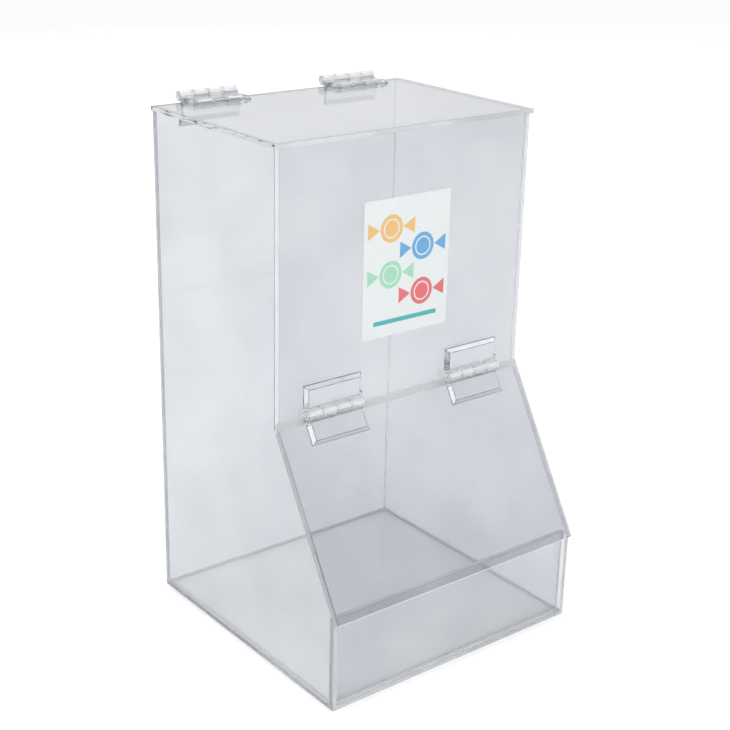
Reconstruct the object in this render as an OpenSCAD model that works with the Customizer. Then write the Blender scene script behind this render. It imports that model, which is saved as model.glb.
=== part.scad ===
// Clear sheet display case with a hinged top lid and a hinged sloping flap

/* [Case] */
// Width across the two side panels
case_w = 203; // [160:1:300]
// Depth of the base, from the lip corner to the back
base_depth = 200; // [170:1:280]
// Depth of the upper hopper
hopper_depth = 137; // [100:1:180]
// Height of the walls, without the lid
wall_h = 344; // [280:1:420]
// Thickness of the clear sheet
sheet_t = 3; // [2:0.5:5]

/* [Front opening] */
// Height of the lower front corner of the side panels
corner_h = 61.4; // [45:0.1:80]
// Height of the knee of the side panels
knee_h = 167.1; // [140:0.1:190]
// Distance of the lip behind the front edges of the side panels
lip_setback = 3; // [1:0.5:6]
// Height left open between the lip and the flap
lip_gap = 1.9; // [0.5:0.1:5]
// Gap between the flap and the sloping edges it lies on
seat_gap = 0.2; // [0.1:0.05:0.5]
// Length of the flap past the lower front corner
flap_overrun = 1.3; // [0:0.1:4]
// Gap between the top end of the flap and the front panel
mitre_gap = 0.3; // [0.2:0.1:1]

/* [Lid] */
// Overhang of the lid at each side
lid_side_over = 1.5; // [0:0.1:4]
// Overhang of the lid at the front
lid_front_over = 2; // [0:0.1:4]
// Distance of the lid's back edge in front of the back face
lid_back_inset = 0.5; // [0.3:0.1:1.5]

/* [Hinges] */
// Width of a hinge
hinge_w = 45; // [30:1:60]
// Distance of a hinge's end from the outer face of the side panel
hinge_inset = 21; // [12:1:30]
// Reach of a leaf from the hinge axis
leaf_reach = 19; // [14:0.5:26]
// Thickness of a leaf
leaf_t = 3; // [2:0.1:3.2]
// Width of the bevel along the free edges of a leaf
leaf_bevel = 2.5; // [1:0.1:4]
// Height of the straight rim under the bevel
leaf_rim = 1; // [0.5:0.1:1.5]
// Distance of the hinge axis from both mounting faces
axis_off = 3.5; // [3.4:0.1:5]
// Gap between a knuckle and the mounting faces
barrel_gap = 0.3; // [0.2:0.05:0.6]
// Distance of the notch edge from the barrel
notch_gap = 0.8; // [0.5:0.1:2]
// Gap along the axis between two knuckles
knuckle_gap = 0.3; // [0.2:0.05:0.8]
// Diameter of the pin
pin_d = 2; // [1.5:0.1:2.6]
// Running gap around the pin
pin_gap = 0.05; // [0.03:0.01:0.1]
// Distance of the pin ends inside the outer knuckles
pin_recess = 0.5; // [0:0.1:2]

/* [Label] */
// Width of the label
label_w = 70; // [40:1:120]
// Height of the label
label_h = 90; // [40:1:120]
// Thickness of the label
label_t = 0.2; // [0.1:0.05:0.5]
// Height of the label's middle above the table
label_z = 258; // [220:1:290]

/* [Hidden] */
$fn = 64;
half_w = case_w / 2;
inner_w = case_w - 2 * sheet_t;
back_y = base_depth / 2;
front_y = back_y - base_depth;
hopper_y = back_y - hopper_depth;
lip_y = front_y + lip_setback;
lid_top = wall_h + sheet_t;
slope = atan((hopper_y - front_y) / (knee_h - corner_h));
mitre_y = hopper_y - mitre_gap;
flap_out = seat_gap + sheet_t;
lip_h = plane_z(lip_y, 0) - lip_gap;
barrel_r = axis_off - barrel_gap;
notch_y = barrel_r + notch_gap;
bore_r = pin_d / 2 + pin_gap;
knuckle_pitch = hinge_w / 4;
hinge_x = half_w - hinge_inset - hinge_w / 2;
lid_axis_y = back_y + axis_off;
lid_axis_z = lid_top + axis_off;
flap_axis_y = hopper_y - axis_off;
flap_axis_z = plane_z(flap_axis_y, flap_out + axis_off);
over = 1;
sheet_tint = [0.87, 0.9, 0.93, 0.35];
leaf_tint = [0.9, 0.91, 0.93, 0.5];
pin_tint = [0.85, 0.86, 0.88, 0.6];
label_tint = [0.96, 0.96, 0.95];

// Height at depth y of a plane lying a distance off the sloping edges
function plane_z(y, off) =
  corner_h + off * sin(slope) + (y - front_y + off * cos(slope)) / tan(slope);

// Point a distance off the sloping edge and a length past the lower corner
function slope_point(off, past) = [
  front_y - off * cos(slope) - past * sin(slope),
  corner_h + off * sin(slope) - past * cos(slope)
];

// A profile of depth and height, drawn out along the width
module across(width) {
  rotate([90, 0, 90])
    linear_extrude(height = width, center = true)
      children();
}

module box(x0, x1, y0, y1, z0, z1) {
  translate([x0, y0, z0])
    cube([x1 - x0, y1 - y0, z1 - z0]);
}

module side_panel() {
  across(sheet_t)
    polygon([
      [back_y, sheet_t],
      [front_y, sheet_t],
      [front_y, corner_h],
      [hopper_y, knee_h],
      [hopper_y, wall_h],
      [back_y, wall_h]
    ]);
}

// Plate of a leaf along +Y, its mounting face below the axis
module leaf_plate() {
  z0 = -axis_off;
  z1 = z0 + leaf_rim;
  z2 = z0 + leaf_t;
  x1 = hinge_w / 2;
  intersection() {
    across(hinge_w + 2 * over)
      polygon([
        [notch_y, z0],
        [leaf_reach, z0],
        [leaf_reach, z1],
        [leaf_reach - leaf_bevel, z2],
        [notch_y, z2]
      ]);
    rotate([90, 0, 0])
      linear_extrude(height = 2 * (leaf_reach + over), center = true)
        polygon([
          [-x1, z0],
          [x1, z0],
          [x1, z1],
          [x1 - leaf_bevel, z2],
          [leaf_bevel - x1, z2],
          [-x1, z1]
        ]);
  }
}

// One knuckle with the web that joins it to its plate
module knuckle(index) {
  x0 = -hinge_w / 2 + index * knuckle_pitch + knuckle_gap / 2;
  length = knuckle_pitch - knuckle_gap;
  translate([x0, 0, 0])
    rotate([0, 90, 0])
      cylinder(r = barrel_r, h = length);
  box(x0, x0 + length, 0, notch_y + leaf_bevel, -barrel_r, leaf_t - axis_off);
}

// Leaf with two of the four knuckles, the axis along X
module hinge_leaf(first) {
  difference() {
    union() {
      leaf_plate();
      knuckle(first);
      knuckle(first + 2);
    }
    rotate([0, 90, 0])
      cylinder(r = bore_r, h = hinge_w + 2 * over, center = true);
  }
}

module hinge_pin() {
  rotate([0, 90, 0])
    cylinder(d = pin_d, h = hinge_w - 2 * pin_recess, center = true);
}

module lid_fixed_leaf(x) {
  translate([x, lid_axis_y, lid_axis_z])
    rotate([-90, 0, 0])
      hinge_leaf(1);
}

module lid_moving_leaf(x) {
  translate([x, lid_axis_y, lid_axis_z])
    mirror([0, 1, 0])
      hinge_leaf(0);
}

module lid_pin(x) {
  translate([x, lid_axis_y, lid_axis_z])
    hinge_pin();
}

module flap_fixed_leaf(x) {
  translate([x, flap_axis_y, flap_axis_z])
    rotate([90, 0, 0])
      hinge_leaf(1);
}

module flap_moving_leaf(x) {
  translate([x, flap_axis_y, flap_axis_z])
    rotate([90 - slope, 0, 0])
      mirror([0, 1, 0])
        hinge_leaf(0);
}

module flap_pin(x) {
  translate([x, flap_axis_y, flap_axis_z])
    hinge_pin();
}

module base_panel() {
  color(sheet_tint)
    box(-half_w, half_w, front_y, back_y, 0, sheet_t);
}

module back_panel() {
  color(sheet_tint)
    box(-inner_w / 2, inner_w / 2, back_y - sheet_t, back_y, sheet_t, wall_h);
}

module left_side_panel() {
  color(sheet_tint)
    translate([sheet_t / 2 - half_w, 0, 0])
      side_panel();
}

module right_side_panel() {
  color(sheet_tint)
    translate([half_w - sheet_t / 2, 0, 0])
      side_panel();
}

module upper_front_panel() {
  color(sheet_tint)
    box(-inner_w / 2, inner_w / 2, hopper_y, hopper_y + sheet_t, knee_h, wall_h);
}

module front_lip() {
  color(sheet_tint)
    box(-inner_w / 2, inner_w / 2, lip_y, lip_y + sheet_t, sheet_t, lip_h);
}

module dispensing_flap() {
  color(sheet_tint)
    across(case_w)
      polygon([
        slope_point(seat_gap, flap_overrun),
        slope_point(flap_out, flap_overrun),
        [mitre_y, plane_z(mitre_y, flap_out)],
        [mitre_y, plane_z(mitre_y, seat_gap)]
      ]);
}

module top_lid() {
  color(sheet_tint)
    box(
      -half_w - lid_side_over, half_w + lid_side_over,
      hopper_y - lid_front_over, back_y - lid_back_inset,
      wall_h, lid_top
    );
}

module front_label() {
  color(label_tint)
    box(
      -label_w / 2, label_w / 2,
      hopper_y - label_t, hopper_y,
      label_z - label_h / 2, label_z + label_h / 2
    );
}

module lid_hinge_left_fixed_leaf() {
  color(leaf_tint)
    lid_fixed_leaf(-hinge_x);
}

module lid_hinge_left_moving_leaf() {
  color(leaf_tint)
    lid_moving_leaf(-hinge_x);
}

module lid_hinge_left_pin() {
  color(pin_tint)
    lid_pin(-hinge_x);
}

module lid_hinge_right_fixed_leaf() {
  color(leaf_tint)
    lid_fixed_leaf(hinge_x);
}

module lid_hinge_right_moving_leaf() {
  color(leaf_tint)
    lid_moving_leaf(hinge_x);
}

module lid_hinge_right_pin() {
  color(pin_tint)
    lid_pin(hinge_x);
}

module flap_hinge_left_fixed_leaf() {
  color(leaf_tint)
    flap_fixed_leaf(-hinge_x);
}

module flap_hinge_left_moving_leaf() {
  color(leaf_tint)
    flap_moving_leaf(-hinge_x);
}

module flap_hinge_left_pin() {
  color(pin_tint)
    flap_pin(-hinge_x);
}

module flap_hinge_right_fixed_leaf() {
  color(leaf_tint)
    flap_fixed_leaf(hinge_x);
}

module flap_hinge_right_moving_leaf() {
  color(leaf_tint)
    flap_moving_leaf(hinge_x);
}

module flap_hinge_right_pin() {
  color(pin_tint)
    flap_pin(hinge_x);
}

base_panel();
back_panel();
left_side_panel();
right_side_panel();
upper_front_panel();
front_lip();
dispensing_flap();
top_lid();
front_label();
lid_hinge_left_fixed_leaf();
lid_hinge_left_moving_leaf();
lid_hinge_left_pin();
lid_hinge_right_fixed_leaf();
lid_hinge_right_moving_leaf();
lid_hinge_right_pin();
flap_hinge_left_fixed_leaf();
flap_hinge_left_moving_leaf();
flap_hinge_left_pin();
flap_hinge_right_fixed_leaf();
flap_hinge_right_moving_leaf();
flap_hinge_right_pin();
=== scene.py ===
from math import atan, cos, pi, radians, sin

import bmesh
import bpy
from mathutils import Matrix, Vector


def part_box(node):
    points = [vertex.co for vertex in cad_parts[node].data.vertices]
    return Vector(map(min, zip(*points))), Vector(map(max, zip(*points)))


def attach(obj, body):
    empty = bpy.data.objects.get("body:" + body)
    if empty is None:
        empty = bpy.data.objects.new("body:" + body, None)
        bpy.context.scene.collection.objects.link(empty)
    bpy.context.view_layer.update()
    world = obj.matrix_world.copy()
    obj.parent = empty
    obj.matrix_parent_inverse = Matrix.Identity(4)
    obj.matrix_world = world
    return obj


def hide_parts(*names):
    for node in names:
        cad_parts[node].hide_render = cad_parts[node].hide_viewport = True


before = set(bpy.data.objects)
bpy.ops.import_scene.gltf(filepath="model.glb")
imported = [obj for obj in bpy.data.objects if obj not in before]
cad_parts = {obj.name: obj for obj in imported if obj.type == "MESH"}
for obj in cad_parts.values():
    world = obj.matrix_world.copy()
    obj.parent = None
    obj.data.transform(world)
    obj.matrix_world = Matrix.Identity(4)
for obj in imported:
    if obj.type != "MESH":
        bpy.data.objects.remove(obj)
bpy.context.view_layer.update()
scene = bpy.context.scene
mm = 0.001
print("frame loaded:", len(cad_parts), "nodes")

# sizes that several pieces share, in mm
caseShape = {
    "frontY": -100.0,
    "hopperY": -37.0,
    "cornerZ": 61.4,
    "kneeZ": 167.1,
    "sheet": 3.0,
    "jointGap": 0.03,   # air left between two glued faces
    "arris": 0.22,      # broken edge of a cut sheet
    "arrisSteps": 2,
}
slope = atan(
    (caseShape["hopperY"] - caseShape["frontY"]) / (caseShape["kneeZ"] - caseShape["cornerZ"])
)
slopeOut = Vector((0, -cos(slope), sin(slope)))
slopeDown = Vector((0, -sin(slope), -cos(slope)))
alongAxis = 0.9   # a face looks along an axis when their directions agree this well
flatFace = 0.95   # the bevels of a broken edge lean further than this from the sheet's own faces


# camera

viewpoint = {
    "place": (-0.5670, -0.7053, 0.5216),
    "yaw": -38.69,
    "pitch": 20.78,
    "roll": 1.34,
    "lens": 71.0,
    "sensor": 36.0,
    "clipStart": 0.02,
    "clipEnd": 60.0,
}
cameraData = bpy.data.cameras.new("photoCamera")
cameraData.lens = viewpoint["lens"]
cameraData.sensor_width = viewpoint["sensor"]
cameraData.clip_start = viewpoint["clipStart"]
cameraData.clip_end = viewpoint["clipEnd"]
photoCamera = bpy.data.objects.new("photoCamera", cameraData)
scene.collection.objects.link(photoCamera)
photoCamera.matrix_world = (
    Matrix.Translation(viewpoint["place"])
    @ Matrix.Rotation(radians(viewpoint["yaw"]), 4, "Z")
    @ Matrix.Rotation(pi / 2 - radians(viewpoint["pitch"]), 4, "X")
    @ Matrix.Rotation(radians(viewpoint["roll"]), 4, "Z")
)
scene.camera = photoCamera
print("camera set")


# hand tools

def clearSelection():
    if bpy.context.object is not None and bpy.context.object.mode != "OBJECT":
        bpy.ops.object.mode_set(mode="OBJECT")
    bpy.ops.object.select_all(action="DESELECT")


def grab(piece):
    clearSelection()
    piece.select_set(True)
    bpy.context.view_layer.objects.active = piece


def openMesh(piece):
    grab(piece)
    bpy.ops.object.mode_set(mode="EDIT")


def closeMesh():
    bpy.ops.object.mode_set(mode="OBJECT")


def pick(piece, kind, test):
    bpy.ops.mesh.select_mode(type=kind)
    bpy.ops.mesh.select_all(action="DESELECT")
    mesh = bmesh.from_edit_mesh(piece.data)
    parts = {"VERT": mesh.verts, "EDGE": mesh.edges, "FACE": mesh.faces}[kind]
    for part in parts:
        if test(part):
            part.select_set(True)
    mesh.select_flush_mode()
    bmesh.update_edit_mesh(piece.data)


def push(x, y, z):
    bpy.ops.mesh.extrude_region_move(TRANSFORM_OT_translate={"value": (x, y, z)})


def freeze(piece):
    grab(piece)
    bpy.ops.object.transform_apply(location=True, rotation=True, scale=True)


def addBlock(name, low, high):
    clearSelection()
    bpy.ops.mesh.primitive_cube_add(size=1.0, location=(low + high) / 2, scale=high - low)
    block = bpy.context.object
    block.name = block.data.name = name
    freeze(block)
    return block


def breakEdges(piece, width):
    openMesh(piece)
    bpy.ops.mesh.select_all(action="SELECT")
    bpy.ops.mesh.bevel(offset=width, segments=caseShape["arrisSteps"], affect="EDGES")
    closeMesh()


def runModifier(piece, name):
    grab(piece)
    bpy.ops.object.modifier_apply(modifier=name)


def carve(piece, tool, operation):
    cut = piece.modifiers.new("carve", "BOOLEAN")
    cut.operation = operation
    cut.solver = "EXACT"
    cut.object = tool
    runModifier(piece, "carve")
    bpy.data.objects.remove(tool)


def finishPiece(piece, body, node):
    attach(piece, body)
    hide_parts(node)


# materials

noiseSpan = (0.3, 0.7)   # nearly all of a noise lies between these
even = (1.0, 1.0, 1.0)


def startMaterial(name):
    material = bpy.data.materials.new(name)
    material.use_nodes = True
    nodes = material.node_tree.nodes
    nodes.clear()
    return material, nodes, material.node_tree.links


def objectNoise(nodes, links, scale, detail, stretch=even):
    place = nodes.new("ShaderNodeTexCoord")
    turn = nodes.new("ShaderNodeMapping")
    turn.inputs["Scale"].default_value = stretch
    noise = nodes.new("ShaderNodeTexNoise")
    noise.inputs["Scale"].default_value = scale
    noise.inputs["Detail"].default_value = detail
    links.new(place.outputs["Object"], turn.inputs["Vector"])
    links.new(turn.outputs["Vector"], noise.inputs["Vector"])
    return noise


def rampBetween(nodes, links, source, low, high, first, second):
    ramp = nodes.new("ShaderNodeValToRGB")
    ramp.color_ramp.elements[0].position = low
    ramp.color_ramp.elements[1].position = high
    ramp.color_ramp.elements[0].color = (*first, 1.0)
    ramp.color_ramp.elements[1].color = (*second, 1.0)
    links.new(source, ramp.inputs["Fac"])
    return ramp.outputs["Color"]


def spread(nodes, links, source, low, high):
    span = nodes.new("ShaderNodeMapRange")
    span.inputs["From Min"].default_value = noiseSpan[0]
    span.inputs["From Max"].default_value = noiseSpan[1]
    span.inputs["To Min"].default_value = low
    span.inputs["To Max"].default_value = high
    links.new(source, span.inputs["Value"])
    return span.outputs["Result"]


plasticGrain = {
    "refraction": 1.49,
    "cloudDetail": 3.0,
    "hazeDetail": 6.0,
    "waveDetail": 1.0,
}


# clear plastic: tinted body, faint handling haze in the gloss, slow waves in the sheet
def clearPlastic(look):
    material, nodes, links = startMaterial(look["name"])
    shader = nodes.new("ShaderNodeBsdfPrincipled")
    shader.inputs["Transmission Weight"].default_value = 1.0 - look["milk"]
    shader.inputs["IOR"].default_value = plasticGrain["refraction"]
    cloud = objectNoise(nodes, links, look["cloudScale"], plasticGrain["cloudDetail"], look["cloudStretch"])
    cloudLow, cloudHigh = look["cloudSpan"]
    colour = rampBetween(
        nodes, links, cloud.outputs["Fac"], cloudLow, cloudHigh, look["tint"], look["tintDeep"]
    )
    links.new(colour, shader.inputs["Base Color"])
    haze = objectNoise(nodes, links, look["hazeScale"], plasticGrain["hazeDetail"], look["hazeStretch"])
    links.new(
        spread(nodes, links, haze.outputs["Fac"], look["glossLow"], look["glossHigh"]),
        shader.inputs["Roughness"],
    )
    wave = objectNoise(nodes, links, look["waveScale"], plasticGrain["waveDetail"])
    bump = nodes.new("ShaderNodeBump")
    bump.inputs["Strength"].default_value = look["waveStrength"]
    bump.inputs["Distance"].default_value = look["waveHeight"]
    links.new(wave.outputs["Fac"], bump.inputs["Height"])
    links.new(bump.outputs["Normal"], shader.inputs["Normal"])
    lampPass = nodes.new("ShaderNodeBsdfTransparent")
    lampPass.inputs["Color"].default_value = (*look["lampTint"], 1.0)
    path = nodes.new("ShaderNodeLightPath")
    mixer = nodes.new("ShaderNodeMixShader")
    output = nodes.new("ShaderNodeOutputMaterial")
    links.new(path.outputs["Is Shadow Ray"], mixer.inputs["Fac"])
    links.new(shader.outputs["BSDF"], mixer.inputs[1])
    links.new(lampPass.outputs["BSDF"], mixer.inputs[2])
    links.new(mixer.outputs["Shader"], output.inputs["Surface"])
    body = nodes.new("ShaderNodeVolumeAbsorption")
    body.inputs["Color"].default_value = (*look["bodyColour"], 1.0)
    body.inputs["Density"].default_value = look["bodyDensity"]
    links.new(body.outputs["Volume"], output.inputs["Volume"])
    return material


sheetLook = {
    "name": "clearSheet",
    "milk": 0.0,
    "bodyColour": (0.4, 0.46, 0.52),
    "bodyDensity": 2.2,
    "tint": (0.796, 0.806, 0.822),
    "tintDeep": (0.745, 0.755, 0.774),
    "cloudScale": 16.0,
    "cloudStretch": even,
    "cloudSpan": (0.35, 0.65),
    "hazeScale": 22.0,
    "hazeStretch": even,
    "glossLow": 0.0,
    "glossHigh": 0.025,
    "waveScale": 5.0,
    "waveStrength": 0.04,
    "waveHeight": 0.001,
    "lampTint": (0.975, 0.978, 0.982),
}
# painted shade: the front panel, lip and flap take a darker copy of the same acrylic tint, so the front
# reads darker than the sides
frontShadeLook = dict(
    sheetLook,
    name="frontSheetPaintedShade",
    tint=(0.745, 0.751, 0.77),
    tintDeep=(0.689, 0.698, 0.719),
)
# painted light: the base takes a lighter copy of the same acrylic tint, lifting the shade that lies under
# the case
baseLightLook = dict(
    sheetLook,
    name="baseSheetPaintedLight",
    tint=(0.953, 0.957, 0.964),
    tintDeep=(0.92, 0.926, 0.935),
)
edgeLook = {
    "name": "cutEdge",
    "milk": 0.14,
    "bodyColour": (0.4, 0.46, 0.52),
    "bodyDensity": 2.2,
    "tint": (0.95, 0.955, 0.965),
    "tintDeep": (0.9, 0.91, 0.925),
    "cloudScale": 90.0,
    "cloudStretch": even,
    "cloudSpan": noiseSpan,
    "hazeScale": 160.0,
    "hazeStretch": even,
    "glossLow": 0.01,
    "glossHigh": 0.06,
    "waveScale": 260.0,
    "waveStrength": 0.1,
    "waveHeight": 0.0002,
    "lampTint": (0.95, 0.953, 0.958),
}
# near-black dashes along the lid's left edge
dashedLook = dict(
    edgeLook,
    name="dashedEdge",
    milk=0.45,
    tint=(0.98, 0.983, 0.988),
    tintDeep=(0.05, 0.052, 0.058),
    cloudScale=320.0,
    cloudStretch=(1.0, 0.3, 2.2),
    cloudSpan=(0.53, 0.64),
)
satinLook = dict(
    edgeLook,
    name="satinEdge",
    milk=0.28,
    tintDeep=(0.89, 0.9, 0.915),
    glossLow=0.08,
    glossHigh=0.18,
)
sawnLook = dict(
    edgeLook,
    name="sawnEdge",
    milk=0.95,
    tint=(0.8, 0.804, 0.81),
    tintDeep=(0.74, 0.745, 0.752),
    glossLow=0.3,
    glossHigh=0.45,
)
# painted highlight: a lighter copy of the sawn look, for the right side panel's sloped rim and the flap's
# mitre and right end
highlightSawnLook = dict(
    sawnLook,
    name="sawnEdgePaintedHighlight",
    tint=(0.93, 0.934, 0.94),
    tintDeep=(0.87, 0.875, 0.882),
)
leafLook = {
    "name": "mouldedLeaf",
    "milk": 0.0,
    "bodyColour": (0.5, 0.55, 0.6),
    "bodyDensity": 1.5,
    "tint": (0.975, 0.98, 0.985),
    "tintDeep": (0.955, 0.962, 0.97),
    "cloudScale": 40.0,
    "cloudStretch": even,
    "cloudSpan": noiseSpan,
    "hazeScale": 80.0,
    "hazeStretch": even,
    "glossLow": 0.01,
    "glossHigh": 0.07,
    "waveScale": 60.0,
    "waveStrength": 0.08,
    "waveHeight": 0.0005,
    "lampTint": (0.95, 0.953, 0.958),
}
knuckleLook = dict(
    leafLook,
    name="mouldedKnuckle",
    milk=0.28,
    tint=(0.86, 0.865, 0.873),
    tintDeep=(0.82, 0.826, 0.835),
    glossLow=0.05,
    glossHigh=0.12,
)
# painted shade: fine broken dark lines along the softened leaf edges and the knuckle chamfers
shadeLineLook = dict(
    leafLook,
    name="leafShadeLine",
    milk=0.1,
    tint=(0.5, 0.507, 0.52),
    tintDeep=(0.05, 0.052, 0.056),
    cloudScale=220.0,
    cloudSpan=(0.4, 0.62),
)
# near-black dashes on the far end face of the fixed leaves
tipLook = dict(
    leafLook,
    name="dashedTip",
    milk=0.1,
    tint=(0.7, 0.71, 0.73),
    tintDeep=(0.01, 0.011, 0.012),
    cloudScale=300.0,
    cloudStretch=(0.5, 1.0, 1.0),
    cloudSpan=(0.44, 0.56),
)
pinLook = dict(
    leafLook,
    name="pinRod",
    milk=0.15,
    tintDeep=(0.95, 0.957, 0.965),
    cloudScale=120.0,
    hazeScale=200.0,
    hazeStretch=(0.1, 1.0, 1.0),
    glossLow=0.02,
    glossHigh=0.1,
    waveScale=150.0,
    waveStrength=0.1,
    waveHeight=0.0002,
    lampTint=(0.93, 0.935, 0.94),
)
clearSheet = clearPlastic(sheetLook)
frontSheetPaintedShade = clearPlastic(frontShadeLook)
baseSheetPaintedLight = clearPlastic(baseLightLook)
cutEdge = clearPlastic(edgeLook)
dashedEdge = clearPlastic(dashedLook)
satinEdge = clearPlastic(satinLook)
sawnEdge = clearPlastic(sawnLook)
sawnEdgePaintedHighlight = clearPlastic(highlightSawnLook)
mouldedLeaf = clearPlastic(leafLook)
mouldedKnuckle = clearPlastic(knuckleLook)
leafShadeLine = clearPlastic(shadeLineLook)
dashedTip = clearPlastic(tipLook)
pinRod = clearPlastic(pinLook)


def dressSheet(piece, thinAxis, sheet, special=()):
    # faces of the sheet take the clear look, the rim a satin cut, single edges may have their own
    for material in (sheet, satinEdge):
        piece.data.materials.append(material)
    for face in piece.data.polygons:
        face.material_index = 0 if abs(face.normal.dot(thinAxis)) > flatFace else 1
    for axis, material in special:
        piece.data.materials.append(material)
        for face in piece.data.polygons:
            if face.normal.dot(Vector(axis)) > alongAxis:
                face.material_index = len(piece.data.materials) - 1


# flat panels

flatPanels = [
    {"piece": "basePanel", "node": "base_panel", "thin": (0, 0, 1), "trim": (0, 0, 1),
     "sheet": baseSheetPaintedLight, "special": [((-1, 0, 0), cutEdge)]},
    {"piece": "backPanel", "node": "back_panel", "thin": (0, 1, 0), "trim": (1, 0, 1),
     "arris": 0.09},
    {"piece": "upperFrontPanel", "node": "upper_front_panel", "thin": (0, 1, 0), "trim": (1, 0, 1),
     "sheet": frontSheetPaintedShade, "arris": 0.09},
    {"piece": "frontLip", "node": "front_lip", "thin": (0, 1, 0), "trim": (1, 0, 1),
     "sheet": frontSheetPaintedShade, "special": [((0, 0, 1), sawnEdge)], "planed": 0.6},
]


def cutPanel(panel):
    low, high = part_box(panel["node"])
    middle = (low + high) / 2
    shrink = Vector(panel["trim"]) * caseShape["jointGap"] * mm
    sheet = addBlock(panel["piece"], low + shrink, high - shrink)
    if "planed" in panel:
        openMesh(sheet)
        pick(sheet, "VERT", lambda v: v.co.z > middle.z and v.co.y < middle.y)
        bpy.ops.transform.translate(value=(0, 0, -panel["planed"] * mm))
        closeMesh()
    breakEdges(sheet, panel.get("arris", caseShape["arris"]) * mm)
    look = panel.get("sheet", clearSheet)
    dressSheet(sheet, Vector(panel["thin"]), look, panel.get("special", ()))
    finishPiece(sheet, "case", panel["node"])


for panel in flatPanels:
    cutPanel(panel)
print("flat panels cut")


# side panels: one stepped profile, drawn up edge by edge and then given its thickness

sidePanels = [
    {"piece": "leftSidePanel", "node": "left_side_panel", "special": ()},
    # the right panel's sloped rim alone takes the lighter sawn look, a painted highlight
    {"piece": "rightSidePanel", "node": "right_side_panel", "special": [(slopeOut, sawnEdgePaintedHighlight)]},
]
flatAngle = 1.0   # degrees; faces that meet at less than this become one


def cutSidePanel(panel):
    low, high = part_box(panel["node"])
    gap = caseShape["jointGap"] * mm
    bottom = low.z + gap
    corner = caseShape["cornerZ"] * mm
    clearSelection()
    bpy.ops.mesh.primitive_plane_add(
        size=1.0,
        location=(low.x, (low.y + high.y) / 2, (bottom + corner) / 2),
        rotation=(0, -pi / 2, 0),
    )
    side = bpy.context.object
    side.name = side.data.name = panel["piece"]
    side.scale = (corner - bottom, high.y - low.y, 1.0)
    freeze(side)
    openMesh(side)
    pick(side, "EDGE", lambda e: all(v.co.z > corner - gap for v in e.verts))
    knee = caseShape["kneeZ"] * mm
    push(0, 0, knee - corner)
    pick(side, "VERT", lambda v: v.co.z > knee - gap and v.co.y < 0)
    bpy.ops.transform.translate(value=(0, caseShape["hopperY"] * mm - low.y, 0))
    pick(side, "EDGE", lambda e: all(v.co.z > knee - gap for v in e.verts))
    push(0, 0, high.z - gap - knee)
    bpy.ops.mesh.select_all(action="SELECT")
    push(high.x - low.x, 0, 0)
    bpy.ops.mesh.select_all(action="SELECT")
    bpy.ops.mesh.normals_make_consistent(inside=False)
    bpy.ops.mesh.dissolve_limited(angle_limit=radians(flatAngle))
    closeMesh()
    breakEdges(side, caseShape["arris"] * mm)
    dressSheet(side, Vector((1, 0, 0)), clearSheet, panel["special"])
    finishPiece(side, "case", panel["node"])


for panel in sidePanels:
    cutSidePanel(panel)
print("side panels cut")


# flap: a turned sheet, its top end cut upright to lie along the front panel

flapShape = {
    "width": 203.0,
    "blank": 150.0,
    "seatGap": 0.2,
    "overrun": 1.3,
    "mitreGap": 0.3,
    "toe": 0.35,
    "toeBand": 0.1,   # the toe's own edge lies within this of its furthest point
}
toeAxis = (slopeOut + slopeDown).normalized()
# the flap's mitre and right end take the lighter sawn look, a painted highlight; the toe is sawn
flapRims = [((0, 1, 0), sawnEdgePaintedHighlight), ((1, 0, 0), sawnEdgePaintedHighlight), (toeAxis, sawnEdge)]


def cutFlap():
    off = flapShape["seatGap"] + caseShape["sheet"] / 2
    reach = flapShape["blank"] / 2 - flapShape["overrun"]
    place = Vector((
        0.0,
        caseShape["frontY"] - off * cos(slope) + reach * sin(slope),
        caseShape["cornerZ"] + off * sin(slope) + reach * cos(slope),
    )) * mm
    clearSelection()
    bpy.ops.mesh.primitive_cube_add(
        size=1.0,
        location=place,
        rotation=(pi / 2 - slope, 0, 0),
        scale=(flapShape["width"] * mm, flapShape["blank"] * mm, caseShape["sheet"] * mm),
    )
    flap = bpy.context.object
    flap.name = flap.data.name = "dispensingFlap"
    freeze(flap)
    toeReach = max(v.co.dot(toeAxis) for v in flap.data.vertices) - flapShape["toeBand"] * mm
    openMesh(flap)
    bpy.ops.mesh.select_all(action="SELECT")
    bpy.ops.mesh.bisect(
        plane_co=(0, (caseShape["hopperY"] - flapShape["mitreGap"]) * mm, 0),
        plane_no=(0, 1, 0),
        use_fill=True,
        clear_outer=True,
    )
    pick(flap, "EDGE", lambda e: all(v.co.dot(toeAxis) > toeReach for v in e.verts))
    bpy.ops.mesh.bevel(offset=flapShape["toe"] * mm, segments=1, affect="EDGES")
    closeMesh()
    breakEdges(flap, caseShape["arris"] * mm)
    dressSheet(flap, slopeOut, frontSheetPaintedShade, flapRims)
    finishPiece(flap, "flap", "dispensing_flap")


cutFlap()
print("flap cut")


# lid

def cutLid():
    low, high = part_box("top_lid")
    low.z += caseShape["jointGap"] * mm
    lid = addBlock("topLid", low, high)
    breakEdges(lid, caseShape["arris"] * mm)
    dressSheet(lid, Vector((0, 0, 1)), clearSheet, [((-1, 0, 0), dashedEdge)])
    finishPiece(lid, "lid", "top_lid")


cutLid()
print("lid cut")


# hinges: both leaves are modelled once about the X axis, then set down four times

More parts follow.
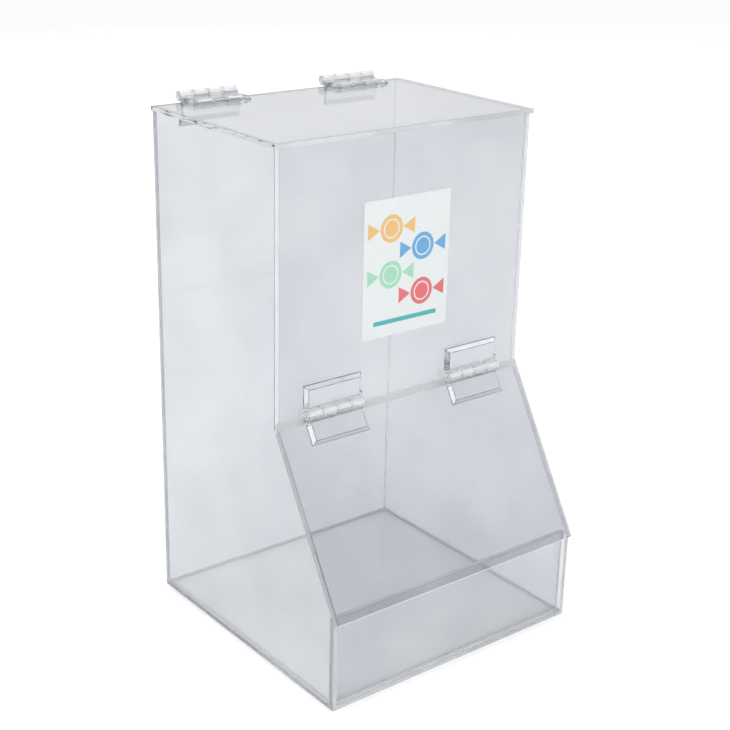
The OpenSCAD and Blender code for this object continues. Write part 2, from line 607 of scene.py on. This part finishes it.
hingeShape = {
    "width": 45.0,
    "reach": 19.0,
    "axisOff": 3.5,
    "leaf": 3.0,
    "rim": 1.0,
    "bevel": 2.5,
    "barrel": 3.2,
    "notch": 4.0,
    "knuckles": 4,        # the two leaves take them in turn
    "knuckleGap": 0.3,
    "webDrop": 0.04,      # how far the webs stay under the leaf's top face
    "bore": 1.05,
    "drillOver": 1.1,     # length of the drill against the hinge's width
    "pin": 1.0,
    "pinLength": 44.0,
    "pinFace": 0.3,       # rim round the pin's end faces
    "pinRound": 0.25,
    "pinRoundSteps": 3,
    "pinRoundAngle": 40.0,
    "lift": 0.03,         # air under the glued face
    "soften": 0.2,
    "chamfer": 0.2,
    "weld": 0.005,        # points closer than this become one
    "sides": 48,
    "smoothAngle": 8.5,   # joins the sides of a knuckle and nothing else
}


def mouldLeaf(name, first, tipMaterial):
    half = hingeShape["width"] / 2 * mm
    under = (hingeShape["lift"] - hingeShape["axisOff"]) * mm
    rimTop = (hingeShape["rim"] - hingeShape["axisOff"]) * mm
    top = (hingeShape["leaf"] - hingeShape["axisOff"]) * mm
    notch = hingeShape["notch"] * mm
    reach = hingeShape["reach"] * mm
    bevel = hingeShape["bevel"] * mm
    barrel = hingeShape["barrel"] * mm
    leaf = addBlock(name, Vector((-half, notch, under)), Vector((half, reach, rimTop)))
    openMesh(leaf)
    pick(leaf, "FACE", lambda f: f.normal.z > alongAxis)
    push(0, 0, top - rimTop)
    bpy.ops.transform.resize(
        value=((half - bevel) / half, (reach - notch - bevel) / (reach - notch), 1.0),
        center_override=(0, notch, top),
    )
    closeMesh()
    breakEdges(leaf, hingeShape["soften"] * mm)
    pitch = hingeShape["width"] / hingeShape["knuckles"] * mm
    length = pitch - hingeShape["knuckleGap"] * mm
    for index in range(first, hingeShape["knuckles"], 2):
        centre = -half + (index + 0.5) * pitch
        web = addBlock(
            "web",
            Vector((centre - length / 2, 0, -barrel)),
            Vector((centre + length / 2, notch + bevel, top - hingeShape["webDrop"] * mm)),
        )
        carve(leaf, web, "UNION")
        clearSelection()
        bpy.ops.mesh.primitive_cylinder_add(
            vertices=hingeShape["sides"],
            radius=barrel,
            depth=length,
            location=(centre, 0, 0),
            rotation=(0, pi / 2, 0),
        )
        knuckle = bpy.context.object
        freeze(knuckle)
        openMesh(knuckle)
        pick(knuckle, "EDGE", lambda e: abs(e.verts[0].co.x - e.verts[1].co.x) < length / 2)
        bpy.ops.mesh.bevel(offset=hingeShape["chamfer"] * mm, segments=1, affect="EDGES")
        closeMesh()
        carve(leaf, knuckle, "UNION")
    clearSelection()
    bpy.ops.mesh.primitive_cylinder_add(
        vertices=hingeShape["sides"],
        radius=hingeShape["bore"] * mm,
        depth=hingeShape["width"] * hingeShape["drillOver"] * mm,
        rotation=(0, pi / 2, 0),
    )
    drill = bpy.context.object
    freeze(drill)
    carve(leaf, drill, "DIFFERENCE")
    openMesh(leaf)
    bpy.ops.mesh.select_all(action="SELECT")
    bpy.ops.mesh.remove_doubles(threshold=hingeShape["weld"] * mm)
    bpy.ops.mesh.dissolve_degenerate(threshold=hingeShape["weld"] * mm)
    closeMesh()
    bpy.ops.object.shade_smooth_by_angle(angle=radians(hingeShape["smoothAngle"]))
    dressLeaf(leaf, barrel, tipMaterial)
    return leaf


leafDress = {
    "barrelReach": 1.02,   # faces within this many radii of the axis belong to a knuckle
    "chamferLow": 0.1,     # how far a knuckle's chamfer faces along the axis, at least and at most
    "chamferHigh": 0.98,
    "flat": 0.993,         # a softened edge leans further than this from every flat face
}


def dressLeaf(leaf, barrel, tipMaterial):
    # knuckles are cloudier than the leaf, and every softened edge and knuckle chamfer gets a fine dark line
    # of painted shade
    for material in (mouldedLeaf, mouldedKnuckle, tipMaterial, leafShadeLine):
        leaf.data.materials.append(material)
    knuckle, tip, line = 1, 2, 3
    rise = hingeShape["leaf"] - hingeShape["rim"]
    run = hingeShape["bevel"]
    flats = [(1, 0, 0), (-1, 0, 0), (0, 1, 0), (0, -1, 0), (0, 0, 1), (0, 0, -1)]
    flats += [(rise, 0, run), (-rise, 0, run), (0, rise, run)]
    flats = [Vector(axis).normalized() for axis in flats]
    for face in leaf.data.polygons:
        if Vector(face.center[1:]).length < barrel * leafDress["barrelReach"]:
            chamfer = leafDress["chamferLow"] < abs(face.normal.x) < leafDress["chamferHigh"]
            face.material_index = line if chamfer else knuckle
        elif all(face.normal.dot(axis) < leafDress["flat"] for axis in flats):
            face.material_index = line
        elif face.normal.y > alongAxis:
            face.material_index = tip


def turnPin(name):
    clearSelection()
    bpy.ops.mesh.primitive_cylinder_add(
        vertices=hingeShape["sides"],
        radius=hingeShape["pin"] * mm,
        depth=hingeShape["pinLength"] * mm,
        rotation=(0, pi / 2, 0),
    )
    pin = bpy.context.object
    pin.name = pin.data.name = name
    freeze(pin)
    openMesh(pin)
    pick(pin, "FACE", lambda f: abs(f.normal.x) > alongAxis)
    bpy.ops.mesh.inset(thickness=hingeShape["pinFace"] * mm)
    closeMesh()
    soften = pin.modifiers.new("soften", "BEVEL")
    soften.width = hingeShape["pinRound"] * mm
    soften.segments = hingeShape["pinRoundSteps"]
    soften.limit_method = "ANGLE"
    soften.angle_limit = radians(hingeShape["pinRoundAngle"])
    runModifier(pin, "soften")
    openMesh(pin)
    pick(pin, "FACE", lambda f: abs(f.normal.x) < flatFace)
    bpy.ops.mesh.faces_shade_smooth()
    closeMesh()
    pin.data.materials.append(pinRod)
    return pin


def setDown(master, name, turn, place):
    clearSelection()
    part = master.copy()
    part.data = master.data.copy()
    part.name = part.data.name = name
    scene.collection.objects.link(part)
    part.data.transform(Matrix.Translation(place) @ turn)
    if turn.determinant() < 0:
        openMesh(part)
        bpy.ops.mesh.select_all(action="SELECT")
        bpy.ops.mesh.normals_make_consistent(inside=False)
        closeMesh()
    return part


fixedMaster = mouldLeaf("fixedMaster", 1, dashedTip)
movingMaster = mouldLeaf("movingMaster", 0, mouldedLeaf)
pinMaster = turnPin("pinMaster")

hingePlaces = {
    "x": 58.0,
    "lidAxis": (103.5, 350.5),
    "flapAxis": (-40.5, 174.3141),
}
flipY = Matrix.Scale(-1, 4, (0, 1, 0))
hingeTurns = {
    "lid": (Matrix.Rotation(-pi / 2, 4, "X"), flipY),
    "flap": (Matrix.Rotation(pi / 2, 4, "X"), Matrix.Rotation(pi / 2 - slope, 4, "X") @ flipY),
}
for body in ("lid", "flap"):
    fixedTurn, movingTurn = hingeTurns[body]
    axisY, axisZ = hingePlaces[body + "Axis"]
    for side, sign in (("left", -1), ("right", 1)):
        place = Vector((sign * hingePlaces["x"], axisY, axisZ)) * mm
        node = body + "_hinge_" + side
        piece = body + "Hinge" + side.capitalize()
        fixedLeaf = setDown(fixedMaster, piece + "FixedLeaf", fixedTurn, place)
        finishPiece(fixedLeaf, "case", node + "_fixed_leaf")
        movingLeaf = setDown(movingMaster, piece + "MovingLeaf", movingTurn, place)
        finishPiece(movingLeaf, body, node + "_moving_leaf")
        pin = setDown(pinMaster, piece + "Pin", Matrix.Identity(4), place)
        finishPiece(pin, "case", node + "_pin")
for master in (fixedMaster, movingMaster, pinMaster):
    bpy.data.objects.remove(master)
print("hinges set")


# label

paperGrain = {
    "fibreScale": 350.0,
    "fibreDetail": 4.0,
    "fibreSpan": (0.25, 0.75),
    "glossScale": 900.0,
    "glossDetail": 2.0,
    "glossLow": 0.32,
    "glossHigh": 0.46,
}


def stickerPaper(look):
    material, nodes, links = startMaterial(look["name"])
    shader = nodes.new("ShaderNodeBsdfPrincipled")
    fibre = objectNoise(nodes, links, paperGrain["fibreScale"], paperGrain["fibreDetail"])
    low, high = paperGrain["fibreSpan"]
    colour = rampBetween(nodes, links, fibre.outputs["Fac"], low, high, look["colour"], look["colourDeep"])
    links.new(colour, shader.inputs["Base Color"])
    gloss = objectNoise(nodes, links, paperGrain["glossScale"], paperGrain["glossDetail"])
    links.new(
        spread(nodes, links, gloss.outputs["Fac"], paperGrain["glossLow"], paperGrain["glossHigh"]),
        shader.inputs["Roughness"],
    )
    output = nodes.new("ShaderNodeOutputMaterial")
    links.new(shader.outputs["BSDF"], output.inputs["Surface"])
    return material


labelInks = [
    {"name": "labelPaper", "colour": (0.643, 0.677, 0.675), "colourDeep": (0.61, 0.642, 0.641)},
    {"name": "inkOrange", "colour": (0.68, 0.43, 0.16), "colourDeep": (0.65, 0.4, 0.145)},
    {"name": "inkSky", "colour": (0.12, 0.325, 0.56), "colourDeep": (0.105, 0.3, 0.53)},
    {"name": "inkMint", "colour": (0.31, 0.575, 0.42), "colourDeep": (0.285, 0.545, 0.395)},
    {"name": "inkCoral", "colour": (0.63, 0.135, 0.145), "colourDeep": (0.6, 0.12, 0.13)},
    {"name": "inkTeal", "colour": (0.06, 0.37, 0.39), "colourDeep": (0.05, 0.34, 0.36)},
    # painted light: the back of the paper is much lighter than its front, lifting the shade it sits in
    {"name": "labelBackPaintedLight", "colour": (0.95, 0.95, 0.945), "colourDeep": (0.92, 0.92, 0.915)},
]
labelMaterials = [stickerPaper(ink) for ink in labelInks]
labelShape = {
    "corner": 1.5,
    "cornerSteps": 6,
    "gap": 0.02,
    "ink": 0.03,
    "disc": 0.72,      # radius of a disc against the size of its motif
    "discSides": 48,
    "rim": 2.6,        # band of ink round the disc
    "ring": 0.9,       # bare ring inside the band
    "wing": 0.5,       # radius of a wing, against the same size
    "wingOut": 1.26,   # how far from the disc's centre a wing stands
    "wingSides": 3,
    "motifs": [
        {"ink": 1, "at": (-13.0, 25.5), "size": 12.5},
        {"ink": 2, "at": (13.0, 10.5), "size": 12.5},
        {"ink": 3, "at": (-13.0, -4.5), "size": 12.5},
        {"ink": 4, "at": (13.0, -19.5), "size": 12.5},
    ],
    "bar": {"ink": 5, "low": (-26.0, -37.0), "high": (26.0, -34.0)},
}


def drawRound(sides, radius, x, z, spin):
    clearSelection()
    bpy.ops.mesh.primitive_circle_add(
        vertices=sides,
        radius=radius * mm,
        fill_type="NGON",
        location=(x, 0, z),
        rotation=(pi / 2, spin, 0),
    )


def layInk(inkIndex, front, rings=()):
    # the shape that was just drawn flat in X and Z gets its inks and their thickness
    shape = bpy.context.object
    for ink in labelMaterials:
        shape.data.materials.append(ink)
    freeze(shape)
    openMesh(shape)
    bpy.ops.mesh.select_all(action="SELECT")
    shape.active_material_index = inkIndex
    bpy.ops.object.material_slot_assign()
    for width, ringInk in rings:
        bpy.ops.mesh.inset(thickness=width * mm)
        shape.active_material_index = ringInk
        bpy.ops.object.material_slot_assign()
    bpy.ops.mesh.select_all(action="SELECT")
    push(0, -labelShape["ink"] * mm, 0)
    bpy.ops.mesh.select_all(action="SELECT")
    bpy.ops.mesh.normals_make_consistent(inside=False)
    closeMesh()
    shape.data.transform(Matrix.Translation((0, front, 0)))
    return shape


def printLabel():
    low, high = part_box("front_label")
    back = high.y - labelShape["gap"] * mm
    centreZ = (low.z + high.z) / 2
    clearSelection()
    bpy.ops.mesh.primitive_plane_add(size=1.0, location=(0, back, centreZ), rotation=(pi / 2, 0, 0))
    paper = bpy.context.object
    paper.name = paper.data.name = "frontLabel"
    paper.scale = (high.x - low.x, high.z - low.z, 1.0)
    freeze(paper)
    openMesh(paper)
    bpy.ops.mesh.select_all(action="SELECT")
    bpy.ops.mesh.bevel(
        offset=labelShape["corner"] * mm,
        segments=labelShape["cornerSteps"],
        affect="VERTICES",
    )
    bpy.ops.mesh.select_all(action="SELECT")
    push(0, low.y - back + labelShape["ink"] * mm, 0)
    bpy.ops.mesh.select_all(action="SELECT")
    bpy.ops.mesh.normals_make_consistent(inside=False)
    closeMesh()
    for ink in labelMaterials:
        paper.data.materials.append(ink)
    for face in paper.data.polygons:
        # the back takes the lighter copy of the paper, painted light
        if face.normal.y > alongAxis:
            face.material_index = len(labelMaterials) - 1   # the last ink is the back
    front = low.y + labelShape["ink"] * mm
    parts = []
    for motif in labelShape["motifs"]:
        ink = motif["ink"]
        size = motif["size"]
        x, z = motif["at"]
        height = centreZ + z * mm
        drawRound(labelShape["discSides"], size * labelShape["disc"], x * mm, height, 0)
        parts.append(layInk(ink, front, [(labelShape["rim"], 0), (labelShape["ring"], ink)]))
        for sign in (-1, 1):
            wingX = (x + sign * size * labelShape["wingOut"]) * mm
            drawRound(labelShape["wingSides"], size * labelShape["wing"], wingX, height, -sign * pi / 2)
            parts.append(layInk(ink, front))
    bar = labelShape["bar"]
    barLow, barHigh = Vector(bar["low"]), Vector(bar["high"])
    centre = (barLow + barHigh) / 2
    clearSelection()
    bpy.ops.mesh.primitive_plane_add(
        size=1.0,
        location=(centre.x * mm, 0, centreZ + centre.y * mm),
        rotation=(pi / 2, 0, 0),
    )
    bpy.context.object.scale = (*((barHigh - barLow) * mm), 1.0)
    parts.append(layInk(bar["ink"], front))
    grab(paper)
    for shape in parts:
        shape.select_set(True)
    bpy.ops.object.join()
    finishPiece(paper, "case", "front_label")


printLabel()
print("label printed")


# floor, light and sky

floorLook = {
    "size": 14.0,
    "drop": 0.0002,
    "grainScale": 40.0,
    "grainDetail": 2.0,
    "colour": (0.965, 0.965, 0.97),
    "colourDeep": (0.955, 0.955, 0.961),
    "roughness": 0.85,
    "specular": 0.2,
}
studio = {
    "skyTint": (0.985, 0.99, 1.0),
    "skyLow": 0.53,
    "skyHigh": 1.19,
    "skyClimb": (0.35, 0.75),          # heights between which the sky goes from low to high
    "brightSide": (0.62, 0.78, 0.1),   # the low sky is brighter on this side
    "brightSideSpan": (0.25, 0.8),
    "brightSideShare": 0.5,
    "bounces": 64,                     # light runs a long way inside the sheets before it comes out
    "clearBounces": 32,
    "lampAim": (0, 0, 0.17),
    "lamps": [
        {"name": "leftBox", "place": (-1.6, -0.4, 1.5), "size": 0.9, "power": 5.0, "glint": True},
        {"name": "rightBox", "place": (1.5, -0.9, 1.2), "size": 0.7, "power": 3.0, "glint": True},
        {"name": "frontBox", "place": (-0.5, -2.2, 1.5), "size": 1.2, "power": 8.0, "glint": False},
        {"name": "backBox", "place": (0.6, 2.1, 1.4), "size": 1.2, "power": 10.0, "glint": False},
        {"name": "cameraBox", "place": (-0.93, -0.8, 0.68), "size": 0.42, "power": 4.5, "glint": True},
    ],
}


def laySurface():
    clearSelection()
    bpy.ops.mesh.primitive_plane_add(size=floorLook["size"], location=(0, 0, -floorLook["drop"]))
    floor = bpy.context.object
    floor.name = floor.data.name = "studioFloor"
    material, nodes, links = startMaterial("paleFloor")
    shader = nodes.new("ShaderNodeBsdfPrincipled")
    grain = objectNoise(nodes, links, floorLook["grainScale"], floorLook["grainDetail"])
    colour = rampBetween(
        nodes, links, grain.outputs["Fac"], *noiseSpan, floorLook["colour"], floorLook["colourDeep"]
    )
    links.new(colour, shader.inputs["Base Color"])
    shader.inputs["Roughness"].default_value = floorLook["roughness"]
    shader.inputs["Specular IOR Level"].default_value = floorLook["specular"]
    output = nodes.new("ShaderNodeOutputMaterial")
    links.new(shader.outputs["BSDF"], output.inputs["Surface"])
    floor.data.materials.append(material)


def raiseSky():
    world = bpy.data.worlds.new("studioSky")
    scene.world = world
    world.use_nodes = True
    nodes, links = world.node_tree.nodes, world.node_tree.links
    nodes.clear()
    direction = nodes.new("ShaderNodeTexCoord")
    split = nodes.new("ShaderNodeSeparateXYZ")
    climb = nodes.new("ShaderNodeMapRange")
    climb.interpolation_type = "SMOOTHSTEP"
    climb.inputs["From Min"].default_value = studio["skyClimb"][0]
    climb.inputs["From Max"].default_value = studio["skyClimb"][1]
    facing = nodes.new("ShaderNodeVectorMath")
    facing.operation = "DOT_PRODUCT"
    facing.inputs[1].default_value = studio["brightSide"]
    wrap = nodes.new("ShaderNodeMapRange")
    wrap.interpolation_type = "SMOOTHSTEP"
    wrap.inputs["From Min"].default_value = studio["brightSideSpan"][0]
    wrap.inputs["From Max"].default_value = studio["brightSideSpan"][1]
    wrap.inputs["To Max"].default_value = studio["brightSideShare"]
    brighter = nodes.new("ShaderNodeMath")
    brighter.operation = "MAXIMUM"
    level = nodes.new("ShaderNodeMapRange")
    level.inputs["To Min"].default_value = studio["skyLow"]
    level.inputs["To Max"].default_value = studio["skyHigh"]
    sky = nodes.new("ShaderNodeBackground")
    sky.inputs["Color"].default_value = (*studio["skyTint"], 1.0)
    output = nodes.new("ShaderNodeOutputWorld")
    links.new(direction.outputs["Generated"], split.inputs["Vector"])
    links.new(split.outputs["Z"], climb.inputs["Value"])
    links.new(direction.outputs["Generated"], facing.inputs[0])
    links.new(facing.outputs["Value"], wrap.inputs["Value"])
    links.new(climb.outputs["Result"], brighter.inputs[0])
    links.new(wrap.outputs["Result"], brighter.inputs[1])
    links.new(brighter.outputs["Value"], level.inputs["Value"])
    links.new(level.outputs["Result"], sky.inputs["Strength"])
    links.new(sky.outputs["Background"], output.inputs["Surface"])


def hangLamps():
    target = Vector(studio["lampAim"])
    for lamp in studio["lamps"]:
        light = bpy.data.lights.new(lamp["name"], "AREA")
        light.size = lamp["size"]
        light.energy = lamp["power"]
        holder = bpy.data.objects.new(lamp["name"], light)
        scene.collection.objects.link(holder)
        holder.visible_glossy = lamp["glint"]
        holder.visible_transmission = False
        holder.location = lamp["place"]
        holder.rotation_euler = (target - Vector(lamp["place"])).to_track_quat("-Z", "Y").to_euler()


laySurface()
raiseSky()
hangLamps()
scene.view_settings.view_transform = "Standard"
scene.cycles.max_bounces = studio["bounces"]
scene.cycles.glossy_bounces = studio["bounces"]
scene.cycles.transmission_bounces = studio["bounces"]
scene.cycles.transparent_max_bounces = studio["clearBounces"]
print("studio ready")

clearSelection()
